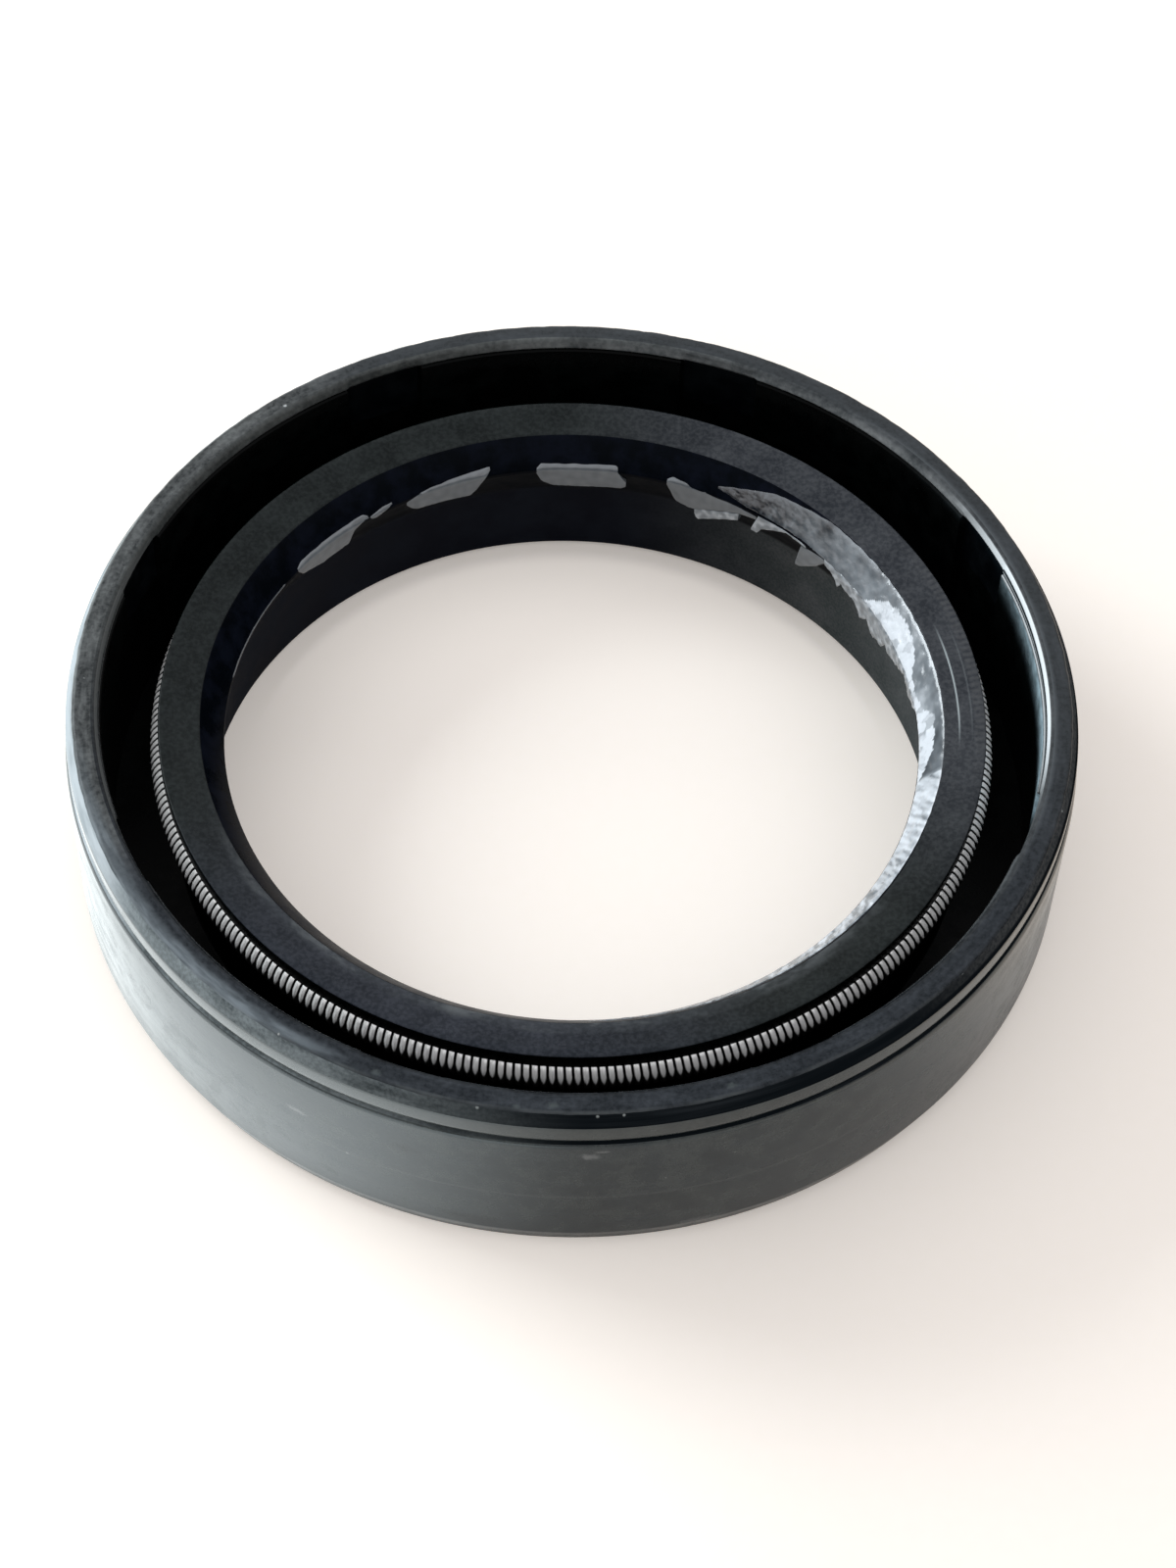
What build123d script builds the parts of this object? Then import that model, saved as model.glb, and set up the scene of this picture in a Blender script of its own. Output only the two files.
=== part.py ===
"""Radial shaft seal 32 x 45 x 10: rubber-covered steel case, sprung sealing lip, oil side up.

The axis of the shaft is +Z and the flat air-side base lies on z = 0.
"""
import os
from math import cos, floor, pi, radians, sin, sqrt, tan

from build123d import *

os.makedirs("parts", exist_ok=True)

# ---------------------------------------------------------------- nominal size, millimetres
shaft_diameter = 32.0
outer_diameter = 45.0
width = 10.0

# ---------------------------------------------------------------- steel case, an L in section
case_sheet = 0.8  # thickness of the sheet
case_bend = 0.8  # flat drawn across the outside of the bend
cover_side = 0.6  # rubber outside the case wall
cover_base = 0.6  # rubber under the case floor
cover_rim = 0.5  # rubber over the upper end of the case wall
cover_floor = 0.4  # rubber over the case floor, inside the cavity

# ---------------------------------------------------------------- outside of the rubber
foot_chamfer_width = 0.4
foot_chamfer_height = 1.1
bead_setback = 0.12  # the bead's face stands this far inside the press-fit wall
bead_height = 0.8
bead_groove_height = 0.42
bead_groove_depth = 0.2
rim_chamfer_width = 0.4
rim_chamfer_height = 0.75

# ---------------------------------------------------------------- skins on the case's inner wall
skin_count = 8
skin_thickness = 0.3
skin_drop = 0.3  # the skins end this far below the rim
notch_width = 3.7  # bare steel between two skins
notch_flare = 60.0  # angle of a notch's flanks, degrees
skin_phase = 27.3  # angle of the first notch from +X, degrees

# ---------------------------------------------------------------- lip, heights and angle
lip_interference = 0.9  # the free lip is this much smaller than the shaft
lip_height = 6.9
lip_land = 0.2  # width of the contact band run in at the lip's edge
air_angle = 27.0  # air-side lip angle, from the axis
cone_height = 8.25  # where the oil-side cone meets the head's face
head_height = 8.48
base_bore_chamfer = 0.3

# ---------------------------------------------------------------- lip, membrane and spring, radial sizes
# They are given for a section of this height between shaft and housing. A lower section has a smaller
# head and coil, which shrink with its square root.
nominal_section = 6.5
base_clearance = 0.75  # between the shaft and the base bore
case_hole_wall = 1.15  # rubber between the base bore and the hole in the case's floor
membrane = 1.1  # thickness of the flexible wall at its root
cone_depth = 1.02  # from the lip's edge out to the head's face
head_depth = 2.85  # from the lip's edge out to the outside of the head
spring_coil = 1.7  # outside diameter of the coil
spring_reach = 0.43  # the spring stands this far out past the head
wire = 0.33
turn_depth = 0.12  # depth of the valley between two turns
lower_land = 0.4  # thickness of the groove's lower land

# ---------------------------------------------------------------- garter spring, clearances and counts
spring_offset = 0.05  # spring centre above the lip edge
spring_fit = 0.01  # clearance of the coil in its groove
turn_gap = 0.001  # gap between turns on the inside of the ring
coil_corners = 4  # flats round one turn
coil_corner_angle = 15.0  # the outermost corner of a turn, above level
segment_count = 8  # the spring ring is built as this many like segments

# ---------------------------------------------------------------- places worked out from the sizes
shaft_r = shaft_diameter / 2
outer_r = outer_diameter / 2
section_scale = sqrt((outer_r - shaft_r) / nominal_section)

case_outer_r = outer_r - cover_side
case_inner_r = case_outer_r - case_sheet
bore_r = shaft_r + base_clearance * section_scale
case_hole_r = bore_r + case_hole_wall * section_scale
case_floor_z = cover_base + case_sheet
case_top_z = width - cover_rim
cavity_floor_z = case_floor_z + cover_floor

lip_r = (shaft_diameter - lip_interference) / 2
land_z = lip_height - lip_land
air_cone_z = land_z - (bore_r - lip_r) / tan(radians(air_angle))
membrane_r = bore_r + membrane * section_scale
cone_r = lip_r + cone_depth * section_scale
head_r = lip_r + head_depth * section_scale

# The coil and the groove that it sits in share the directions of their corners.
crest_r = spring_coil / 2 * section_scale
valley_r = crest_r - turn_depth * section_scale
turn_r = crest_r - wire / 2 * section_scale
spring_r = head_r + spring_reach * section_scale - crest_r
spring_z = lip_height + spring_offset
groove_r = crest_r + spring_fit
upper_land_z = spring_z + sqrt(groove_r**2 - (head_r - spring_r) ** 2)
corner_angles = [coil_corner_angle + 360 / coil_corners * corner for corner in range(coil_corners)]


def coil_point(radius, angle):
    """Point of the coil's section, measured from its centre line."""
    return (radius * cos(radians(angle)), radius * sin(radians(angle)))


# ---------------------------------------------------------------- steel case
with BuildPart() as case:
    with BuildSketch(Plane.XZ) as case_section:
        with BuildLine():
            Polyline(
                (case_hole_r, cover_base),
                (case_outer_r, cover_base),
                (case_outer_r, case_top_z),
                (case_inner_r, case_top_z),
                (case_inner_r, case_floor_z),
                (case_hole_r, case_floor_z),
                close=True,
            )
        make_face()
        bend = case_section.vertices().sort_by_distance((case_outer_r, cover_base))[0]
        chamfer(bend, case_bend)
    revolve(axis=Axis.Z)
case.part.label = "steel_case"

# ---------------------------------------------------------------- moulded rubber body
bead_r = outer_r - bead_setback
bead_top_z = width - rim_chamfer_height
bead_bottom_z = bead_top_z - bead_height
groove_points = []
for angle in corner_angles[1:]:
    across, up = coil_point(groove_r, angle)
    groove_points.append((spring_r + across, spring_z + up))
lower_land_r, lower_land_z = groove_points[-1]

with BuildPart() as body:
    with BuildSketch(Plane.XZ):
        with BuildLine():
            Polyline(
                (bore_r + base_bore_chamfer, 0),
                (outer_r - foot_chamfer_width, 0),
                (outer_r, foot_chamfer_height),
                (outer_r, bead_bottom_z - bead_groove_height),
                (outer_r - bead_groove_depth, bead_bottom_z - bead_groove_height / 2),
                (bead_r, bead_bottom_z),
                (bead_r, bead_top_z),
                (bead_r - rim_chamfer_width, width),
                (case_inner_r, width),
                (case_inner_r, cavity_floor_z),
                (membrane_r, cavity_floor_z),
                (lower_land_r, lower_land_z - lower_land * section_scale),
                *reversed(groove_points),
                (head_r, upper_land_z),
                (head_r, head_height),
                (cone_r, cone_height),
                (lip_r, lip_height),
                (lip_r, land_z),
                (bore_r, air_cone_z),
                (bore_r, base_bore_chamfer),
                close=True,
            )
        make_face()
    revolve(axis=Axis.Z)

    skin_top_z = width - skin_drop
    skin_r = case_inner_r - skin_thickness
    with BuildSketch(Plane.XY.offset(cavity_floor_z)) as skins:
        Circle(case_inner_r)
        Circle(skin_r, mode=Mode.SUBTRACT)
        cutter_depth = 3 * skin_thickness  # centred on the case wall, so it reaches past the skin
        widening = cutter_depth / tan(radians(notch_flare))
        with PolarLocations(case_inner_r, skin_count, start_angle=skin_phase):
            Trapezoid(
                notch_width + widening,
                cutter_depth,
                notch_flare,
                rotation=-90,
                mode=Mode.SUBTRACT,
            )
    extrude(amount=skin_top_z - cavity_floor_z)
    add(case.part, mode=Mode.SUBTRACT)
body.part.label = "rubber_body"

# ---------------------------------------------------------------- garter spring
# A close-coiled wire bent into a ring. Each turn is a ridge: sections at the crest of a turn and
# at the valley beside it alternate round the ring, leaning with the helix, joined by a ruled loft.
turn_pitch = wire * section_scale + turn_gap
turns_per_segment = floor(2 * pi * (spring_r - turn_r) / turn_pitch / segment_count)
turn_angle = 360 / segment_count / turns_per_segment
half_pitch = radians(turn_angle) * spring_r / 2
helix_lean = half_pitch / (2 * turn_r)

with BuildPart() as spring_segment:
    for step in range(2 * turns_per_segment + 1):
        is_crest = step % 2 == 0
        section_r = crest_r if is_crest else valley_r
        around = radians(step * turn_angle / 2)
        outward = Vector(cos(around), sin(around), 0)
        backward = Vector(sin(around), -cos(around), -helix_lean)
        centre = outward * spring_r + Vector(0, 0, spring_z)
        with BuildSketch(Plane(centre, x_dir=outward, z_dir=backward)):
            Polygon(*[coil_point(section_r, angle) for angle in corner_angles], align=None)
    loft(ruled=True)

with BuildPart() as spring:
    with PolarLocations(0, segment_count):
        add(spring_segment.part)
spring.part.label = "garter_spring"

export_step(body.part, "parts/rubber_body.step")
export_step(case.part, "parts/steel_case.step")
export_step(spring.part, "parts/garter_spring.step")
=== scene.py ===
from math import atan2, cos, degrees, hypot, pi, radians, sin, sqrt, tan, tau

import bmesh
import bpy
from mathutils import Matrix, Vector, noise


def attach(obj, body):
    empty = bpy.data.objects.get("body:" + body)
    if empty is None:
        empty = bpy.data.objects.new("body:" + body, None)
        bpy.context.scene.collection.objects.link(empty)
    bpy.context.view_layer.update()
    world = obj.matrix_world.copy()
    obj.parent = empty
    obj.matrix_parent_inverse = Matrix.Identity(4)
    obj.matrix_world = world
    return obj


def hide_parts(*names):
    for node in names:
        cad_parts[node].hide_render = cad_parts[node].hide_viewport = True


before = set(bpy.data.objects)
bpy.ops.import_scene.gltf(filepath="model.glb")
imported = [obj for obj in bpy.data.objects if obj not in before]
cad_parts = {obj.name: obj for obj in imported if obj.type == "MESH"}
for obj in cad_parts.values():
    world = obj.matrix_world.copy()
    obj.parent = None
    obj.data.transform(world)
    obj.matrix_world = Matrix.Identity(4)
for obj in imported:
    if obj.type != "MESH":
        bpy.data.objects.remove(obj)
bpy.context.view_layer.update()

# Lengths are in millimetres. The maker multiplies them by MM when they go into a mesh.
MM = 0.001

# ---------------------------------------------------------------- sizes of the seal
OUTER_R = 22.5
WIDTH = 10.0
FOOT_R = 22.1
FOOT_TOP = 1.1
GROOVE_BOTTOM = 8.03
GROOVE_R = 22.3
BEAD_R = 22.38
BEAD_BOTTOM = 8.45
BEAD_TOP = 9.25
RIM_R = 21.98
RIM_EDGE_R = 21.06
CASE_R = 21.1
CASE_TOP = 9.5
SKIN_R = 20.8
SKIN_TOP = 9.7
CAVITY_FLOOR = 1.8
MEMBRANE_R = 17.85
LAND_R = 18.2
LAND_BOTTOM = 5.72
HEAD_R = 18.4
HEAD_TOP = 8.48
CONE_R = 16.57
CONE_TOP = 8.25
LIP_R = 15.55
LIP_TOP = 6.9
LIP_BOTTOM = 6.7
BORE_R = 16.75
BORE_TOP = 4.35
BORE_CHAMFER = 0.3

# The rim slopes down on its inside to a foot. From there a ledge leads back to the skins.
SLOPE_FOOT_R = SKIN_R + 0.05
SLOPE_FOOT = SKIN_TOP - 0.07
LEDGE_R = SKIN_R + 0.16
SKIN_EDGE = CASE_TOP - 0.08
HEAD_STEPS = ((17.82, 0.06), (17.74, 0.10), (17.27, 0.13), (17.17, 0.19))  # radius and depth

SPRING_R = 17.98
SPRING_Z = 6.95
COIL_MEAN_R = 0.685
WIRE = 0.33
TURNS = 328
WIRE_SIDES = 8
TURN_STEPS = 18
SEAT_R = 0.86  # the spring's groove in section
SEAT_STEPS = 14

SKINS = 8
NOTCH_AT = 27.3  # degrees from +X to the middle of the first notch
NOTCH_HALF = 5.0  # degrees
STEPS = 720  # facets round the seal

# Finishes of the rubber, numbered as in the list of materials that make_rubber gives.
OUTER, RIM, EDGE, CHAMFER, HEAD, LIP, BORE, CAVITY = range(8)


# ---------------------------------------------------------------- modelling helpers
def only(piece):
    """Deselects everything and makes this piece the selected, active one."""
    bpy.ops.object.select_all(action="DESELECT")
    piece.select_set(True)
    bpy.context.view_layer.objects.active = piece


def ring_section(name, points):
    """A ring turned from a closed section: a circle is extruded from point to point and closed."""
    radius, height = points[0]
    bpy.ops.mesh.primitive_circle_add(
        vertices=STEPS, radius=radius * MM, location=(0, 0, height * MM)
    )
    piece = bpy.context.object
    piece.name = name
    only(piece)
    bpy.ops.object.transform_apply(location=True)
    bpy.ops.object.mode_set(mode="EDIT")
    bpy.ops.mesh.select_mode(type="VERT")
    bpy.ops.mesh.select_all(action="SELECT")
    for (r0, z0), (r1, z1) in zip(points, points[1:]):
        rise = (0, 0, (z1 - z0) * MM)
        bpy.ops.mesh.extrude_region_move(TRANSFORM_OT_translate={"value": rise})
        if r1 != r0:
            scale = r1 / r0
            bpy.ops.transform.resize(value=(scale, scale, 1), center_override=(0, 0, 0))
    select_loops(piece, points[0], points[-1])
    bpy.ops.mesh.bridge_edge_loops()
    bpy.ops.mesh.select_all(action="SELECT")
    bpy.ops.mesh.normals_make_consistent(inside=False)
    return piece


def select_loops(piece, *places, near=1e-3):
    """In edit mode, selects the edges that run round the axis at these radii and heights."""
    bpy.ops.mesh.select_mode(type="EDGE")
    mesh = bmesh.from_edit_mesh(piece.data)
    for edge in mesh.edges:
        a, b = (v.co / MM for v in edge.verts)
        level = abs(a.z - b.z) < near and abs(a.xy.length - b.xy.length) < near
        hit = level and any(
            abs(a.z - z) < near and abs(a.xy.length - r) < near for r, z in places
        )
        edge.select_set(hit)
    bmesh.update_edit_mesh(piece.data)


def round_edges(piece, width, segments, *places):
    """Rounds the sharp edges that run round the ring at these places."""
    select_loops(piece, *places)
    bpy.ops.mesh.bevel(offset=width * MM, segments=segments, affect="EDGES")


def finish_piece(piece, materials, choose=None):
    """Leaves edit mode, shades the piece smooth, paints it and ties it to the frame.

    choose gives the number of a face's material from the radius, height and angle of its middle.
    """
    if piece.mode == "EDIT":
        bpy.ops.object.mode_set(mode="OBJECT")
    only(piece)
    bpy.ops.object.shade_smooth_by_angle(angle=radians(40))
    for material in materials:
        piece.data.materials.append(material)
    if choose:
        for face in piece.data.polygons:
            x, y, z = face.center / MM
            face.material_index = choose(hypot(x, y), z, degrees(atan2(y, x)))
    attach(piece, "root")


# ---------------------------------------------------------------- the moulded rubber
def groove_arc():
    """The spring's groove in section, from its lower land round the back to the head's side."""
    first, last = -75, -299
    turns = [radians(first + (last - first) * k / SEAT_STEPS) for k in range(SEAT_STEPS + 1)]
    return [(SPRING_R + SEAT_R * cos(turn), SPRING_Z + SEAT_R * sin(turn)) for turn in turns]


def make_rubber():
    section = [
        (BORE_R + BORE_CHAMFER, 0),
        (FOOT_R, 0),
        (OUTER_R, FOOT_TOP),
        (OUTER_R, GROOVE_BOTTOM),
        (GROOVE_R, (GROOVE_BOTTOM + BEAD_BOTTOM) / 2),
        (BEAD_R, BEAD_BOTTOM),
        (BEAD_R, BEAD_TOP),
        (RIM_R, WIDTH),
        (RIM_EDGE_R, WIDTH),
        (SLOPE_FOOT_R, SLOPE_FOOT),
        (LEDGE_R, CASE_TOP),
        (SKIN_R, SKIN_EDGE),
        (SKIN_R, CAVITY_FLOOR),
        (MEMBRANE_R, CAVITY_FLOOR),
        (LAND_R, LAND_BOTTOM),
        *groove_arc(),
        (HEAD_R, HEAD_TOP),
        *((radius, HEAD_TOP - depth) for radius, depth in HEAD_STEPS),
        (CONE_R, CONE_TOP),
        (LIP_R, LIP_TOP),
        (LIP_R, LIP_BOTTOM),
        (BORE_R, BORE_TOP),
        (BORE_R, BORE_CHAMFER),
    ]
    rubber = ring_section("moulded_rubber", section)
    round_edges(rubber, 0.06, 2, (FOOT_R, 0), (OUTER_R, FOOT_TOP), (BORE_R + BORE_CHAMFER, 0))
    round_edges(rubber, 0.14, 4, (OUTER_R, GROOVE_BOTTOM), (BEAD_R, BEAD_BOTTOM))
    round_edges(rubber, 0.12, 3, (BEAD_R, BEAD_TOP), (RIM_R, WIDTH))
    round_edges(rubber, 0.15, 5, (RIM_EDGE_R, WIDTH))
    round_edges(rubber, 0.05, 3, (SLOPE_FOOT_R, SLOPE_FOOT), (SKIN_R, SKIN_EDGE))
    round_edges(rubber, 0.09, 3, (HEAD_R, HEAD_TOP), (CONE_R, CONE_TOP))
    round_edges(rubber, 0.04, 2, (LIP_R, LIP_TOP), (LIP_R, LIP_BOTTOM))
    round_edges(rubber, 0.25, 3, (BORE_R, BORE_TOP), (MEMBRANE_R, CAVITY_FLOOR))
    bpy.ops.object.mode_set(mode="OBJECT")
    cut_notches(rubber)
    roughen_rim(rubber)
    finishes = [
        outer_rubber(),
        rim_rubber(),
        edge_rubber(),
        chamfer_rubber(),
        head_rubber(),
        lip_rubber(),
        bore_rubber(),
        cavity_rubber(),
    ]
    finish_piece(rubber, finishes, rubber_zone)
    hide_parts("rubber_body")


def rubber_zone(radius, height, angle):
    """Which of the rubber's finishes lies here. The small margins take in the rounded edges."""
    if CASE_TOP < height < WIDTH - 0.003 and SKIN_R - 0.01 < radius < RIM_EDGE_R + 0.16:
        return EDGE
    # The skins' top edges take the edge finish, with its painted highlight, only on the right.
    if CASE_TOP - 0.12 < height < CASE_TOP + 0.01 and radius < CASE_R:
        return EDGE if -30 < angle < 23 else CAVITY
    if radius > CASE_R - 0.05 and height > WIDTH - 0.16:
        return RIM
    if radius > CASE_R and height > BEAD_TOP + 0.04:
        return CHAMFER
    if radius > GROOVE_R - 0.1 and GROOVE_BOTTOM + 0.12 < height < BEAD_BOTTOM - 0.06:
        return CHAMFER
    if radius > CASE_R + 0.1 or height < 0.05:
        return OUTER
    if height > CONE_TOP - 0.03 and radius < HEAD_R - 0.02:
        return HEAD
    if radius < BORE_R + 0.4 and height > LIP_TOP - 0.03:
        return LIP
    if radius < BORE_R + 0.4 and height < LIP_TOP:
        return BORE
    return CAVITY


def in_notch(angle):
    """True within a notch between two skins."""
    pitch = 360 / SKINS
    return abs((angle - NOTCH_AT + pitch / 2) % pitch - pitch / 2) < NOTCH_HALF


def cut_notches(rubber):
    """In a notch the skin is pushed back into the steel, and the rim's slope is narrower."""
    hidden_r = CASE_R + 0.15
    slope_left = 0.55  # share of the slope's width that is left in a notch
    for vertex in rubber.data.vertices:
        x, y, z = vertex.co / MM
        radius = hypot(x, y)
        if z < CAVITY_FLOOR + 0.01 or radius <= SKIN_R - 0.01:
            continue
        if not in_notch(degrees(atan2(y, x))):
            continue
        narrowed = slope_left * radius + (1 - slope_left) * RIM_EDGE_R
        pushed = hidden_r if z < CASE_TOP - 0.01 else narrowed
        if radius < pushed:
            grown = pushed / radius
            vertex.co = Vector((x * grown, y * grown, z)) * MM


def roughen_rim(rubber):
    """Makes the trimmed edges of the rim a little uneven, as flash torn off a mould leaves them."""
    ragged, wandering, lowered = 0.035, 0.012, 0.02
    for vertex in rubber.data.vertices:
        x, y, z = vertex.co / MM
        radius, angle = hypot(x, y), atan2(y, x)
        if z < WIDTH - 0.3 or radius < CASE_R:
            continue
        outer = max(0, 1 - abs(radius - RIM_R) / 0.25)
        inner = max(0, 1 - abs(radius - CASE_R) / 0.35)
        wave = noise.fractal(Vector((cos(angle), sin(angle), 0)) * 26, 1.0, 2.0, 4)
        wander = noise.fractal(Vector((cos(angle), sin(angle), 3)) * 5, 1.0, 2.0, 3)
        push = ragged * wave * outer + wandering * wander * (outer - inner)
        grown = (radius + push) / radius
        vertex.co = Vector((x * grown, y * grown, z - lowered * abs(wave) * outer)) * MM


# ---------------------------------------------------------------- the garter spring
def make_spring():
    """A wire wound straight by a screw, then bent round into a ring and joined."""
    length = tau * SPRING_R
    bpy.ops.mesh.primitive_circle_add(
        vertices=WIRE_SIDES,
        radius=WIRE / 2 * MM,
        location=(0, 0, COIL_MEAN_R * MM),
        rotation=(pi / 2, 0, 0),
    )
    spring = bpy.context.object
    spring.name = "wound_spring"
    only(spring)
    bpy.ops.object.transform_apply(location=True, rotation=True)
    wind = spring.modifiers.new("wind", "SCREW")
    wind.axis = "X"
    wind.angle = tau
    wind.screw_offset = length / TURNS * MM
    wind.iterations = TURNS
    wind.steps = wind.render_steps = TURN_STEPS
    bpy.ops.object.modifier_apply(modifier=wind.name)
    crest = spring.data.attributes.new("crest", "FLOAT", "POINT")
    for vertex in spring.data.vertices:
        out = hypot(vertex.co.y, vertex.co.z) / MM - COIL_MEAN_R
        crest.data[vertex.index].value = out / (WIRE / 2)
    bend = spring.modifiers.new("bend", "SIMPLE_DEFORM")
    bend.deform_method = "BEND"
    bend.deform_axis = "Z"
    bend.angle = tau * spring.dimensions.x / (length * MM)
    bpy.ops.object.modifier_apply(modifier=bend.name)
    bpy.ops.object.mode_set(mode="EDIT")
    bpy.ops.mesh.select_all(action="SELECT")
    bpy.ops.mesh.remove_doubles(threshold=0.004 * MM)
    bpy.ops.transform.translate(value=(0, -SPRING_R * MM, SPRING_Z * MM))
    bpy.ops.mesh.normals_make_consistent(inside=False)
    finish_piece(spring, [spring_wire()])
    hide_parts("garter_spring")


# ---------------------------------------------------------------- grease on the lip
OIL_SLOPE = atan2(CONE_R - LIP_R, CONE_TOP - LIP_TOP)
AIR_SLOPE = atan2(BORE_R - LIP_R, LIP_BOTTOM - BORE_TOP)
SUNK = 0.03  # the back of a smear lies this far inside the rubber
THICK = 0.03  # a smear's thickness where it is not crumpled
TUCKED = 0.005  # its edges lie this far inside the rubber
EDGE_POWER, END_POWER = 6, 30  # how steeply it thins out to its edges and its ends


def along(line, x):
    """Height at x of a line through points (x, y), which stand in rising order of x."""
    for (x0, y0), (x1, y1) in zip(line, line[1:]):
        if x <= x1:
            return y0 + (y1 - y0) * max(x - x0, 0) / (x1 - x0)
    return line[-1][1]


def ripple(angle, reach, pitch, layer):
    """Smooth noise between -1 and 1 over the lip, with waves of about this pitch in millimetres."""
    place = Vector((radians(angle) * LIP_R / pitch, reach / pitch, layer))
    return noise.noise(place)


def grease_front(reach, lift):
    """Radius and height of a smear's skin, this far up the oil side from the lip's edge or down."""
    if reach > 0:
        return (
            LIP_R + reach * sin(OIL_SLOPE) - lift * cos(OIL_SLOPE),
            LIP_TOP + reach * cos(OIL_SLOPE) + lift * sin(OIL_SLOPE),
        )
    return LIP_R - lift, LIP_TOP + reach


def grease_back(reach):
    """Radius and height of a smear's back, which follows the rubber on both sides of the edge."""
    if reach > 0:
        return grease_front(reach, -SUNK)
    height = LIP_TOP + reach
    flare = max(LIP_BOTTOM - height, 0) * tan(AIR_SLOPE)
    return min(LIP_R + flare, BORE_R) + SUNK, height


def smear(name, material, tone, upper, lower, ragged=0.03, crumple=0.0, column=0.4, rows=10):
    """A closed sheet of grease on the lip, between two edges.

    An edge is a line of (angle, reach): degrees round from +X, and millimetres up the oil side of
    the lip's edge or, below 0, down its air side. tone gives how white the grease is, 0 to 1.
    """
    first, last = upper[0][0], upper[-1][0]
    bpy.ops.mesh.primitive_grid_add(
        x_subdivisions=round((last - first) / column), y_subdivisions=rows, size=2
    )
    piece = bpy.context.object
    piece.name = name
    only(piece)
    bpy.ops.object.mode_set(mode="EDIT")
    bpy.ops.mesh.select_all(action="SELECT")
    bpy.ops.mesh.extrude_region_move(TRANSFORM_OT_translate={"value": (0, 0, 1)})
    bpy.ops.object.mode_set(mode="OBJECT")
    shade = piece.data.attributes.new("tone", "FLOAT", "POINT")
    for vertex in piece.data.vertices:
        across, up, front = vertex.co
        angle = first + (last - first) * (across + 1) / 2
        low = along(lower, angle) + ragged * ripple(angle, 0, 0.35, 1)
        low += ragged * ripple(angle, 0, 0.12, 2)
        high = max(along(upper, angle) + ragged * ripple(angle, 0, 0.5, 3), low + 0.01)
        reach = low + (high - low) * (up + 1) / 2
        if front > 0.5:
            swell = sqrt(max(1 - up**EDGE_POWER, 0) * max(1 - across**END_POWER, 0))
            fold = abs(ripple(angle, reach, 0.55, 4)) + 0.5 * abs(ripple(angle, reach, 0.2, 5))
            radius, height = grease_front(reach, (THICK + crumple * fold) * swell - TUCKED)
        else:
            radius, height = grease_back(reach)
        turn = radians(angle)
        vertex.co = Vector((radius * cos(turn), radius * sin(turn), height)) * MM
        shade.data[vertex.index].value = tone(angle, reach)
    bpy.ops.object.mode_set(mode="EDIT")
    bpy.ops.mesh.select_all(action="SELECT")
    bpy.ops.mesh.normals_make_consistent(inside=False)
    finish_piece(piece, [material])


def shard(angle, reach, size, layer):
    """How light a flat facet of folded grease is, 0 to 1: painted highlight, painted shade round
    it.
    """
    shift = 0.35 * ripple(angle, reach, 0.3, layer)
    place = Vector((radians(angle) * LIP_R / size + shift, reach / size / 1.6 - shift, layer))
    away, cells = noise.voronoi(place)
    crease = min((away[1] - away[0]) / 0.10, 1)
    return (0.25 + 0.75 * min(abs(noise.noise(cells[0] * 7.3)) * 3, 1)) * (0.7 + 0.3 * crease)


# The film on the oil side: its edges, how white it is, and how far up it is folded on the right.
FILM_UPPER = (
    (-86, 0.7), (-70, 1.1), (-55, 1.3), (-40, 1.45), (-24, 1.58), (-12, 1.66), (45, 1.62),
    (56, 1.30), (62, 0.80), (66, 0.50),
)
FILM_LOWER = (
    (-86, 0.5), (-60, 0.15), (-40, 0.05), (-9, 0.03), (6, -0.04), (42, -0.04), (47, 0.05),
    (60, 0.08), (66, 0.40),
)
# How white the film is round the lip: partly milky grease, partly a painted highlight.
FILM_WHITE = (
    (-86, 0.15), (-60, 0.45), (-35, 0.70), (-12, 0.86), (-9, 0.72), (-8, 0.26), (-3, 0.28),
    (2, 0.52), (20, 0.52), (35, 0.42), (46, 0.22), (56, 0.06), (66, 0.0),
)
FILM_FOLDED = (
    (-9.5, 0), (-8, 0.35), (-3, 1.02), (0.7, 1.05), (2.7, 1.18), (6, 0.42), (9, 0.25),
    (12.5, 0.33), (14.3, 0.53), (16.2, 0.89), (18.2, 1.04), (21, 1.18), (24.5, 1.13),
    (27.5, 0.94), (30, 0.37), (31.5, 0),
)
NEAR_FOLDS_END = -9  # degrees: on the near side of this the whole film is folded
FRINGE_UPPER = ((6.5, 0.04), (13, 0.04), (42.6, 0.0))
FRINGE_LOWER = (
    (6.5, -0.1), (11.4, -0.7), (13, -0.4), (14, -0.2), (19.2, -0.84), (22.5, -1.1),
    (23.5, -0.8), (24.7, -1.35), (28.5, -1.5), (30, -1.0), (32, -1.4), (34.2, -0.8),
    (38, -0.7), (38.8, -1.05), (39.3, -0.7), (42.6, -0.25),
)


def film_tone(angle, reach):
    """How white the film is: clouded grey, and folded white where thickest, partly a painted
    highlight.
    """
    base = along(FILM_WHITE, angle)
    cloud = ripple(angle, reach, 0.9, 11) + 0.4 * ripple(angle, reach, 0.35, 12)
    if angle < NEAR_FOLDS_END:
        crease = ripple(angle * 2.2 + reach * 4, reach * 0.5, 0.5, 13)
        fold = shard(angle * 1.6 + reach * 5, reach, 0.5, 17) - 0.6
        return min(max(base + 0.35 * crease + 0.45 * fold + 0.12 * cloud, 0), 1)
    folded = along(FILM_FOLDED, angle)
    if folded and reach < folded + 0.16 * ripple(angle, reach, 0.3, 14):
        return 0.55 + 0.65 * shard(angle, reach, 0.42, 15)
    spread = 0.26 if angle < 48 else 0.16
    run = 0.2 * max(ripple(angle, reach * 0.4, 0.16, 16), 0) if angle > 50 else 0
    return min(max(base + spread * cloud + run, 0), 0.75)


def grey_tone(angle, reach):
    return 0.26 + 0.08 * ripple(angle, reach, 0.4, 21)


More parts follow.
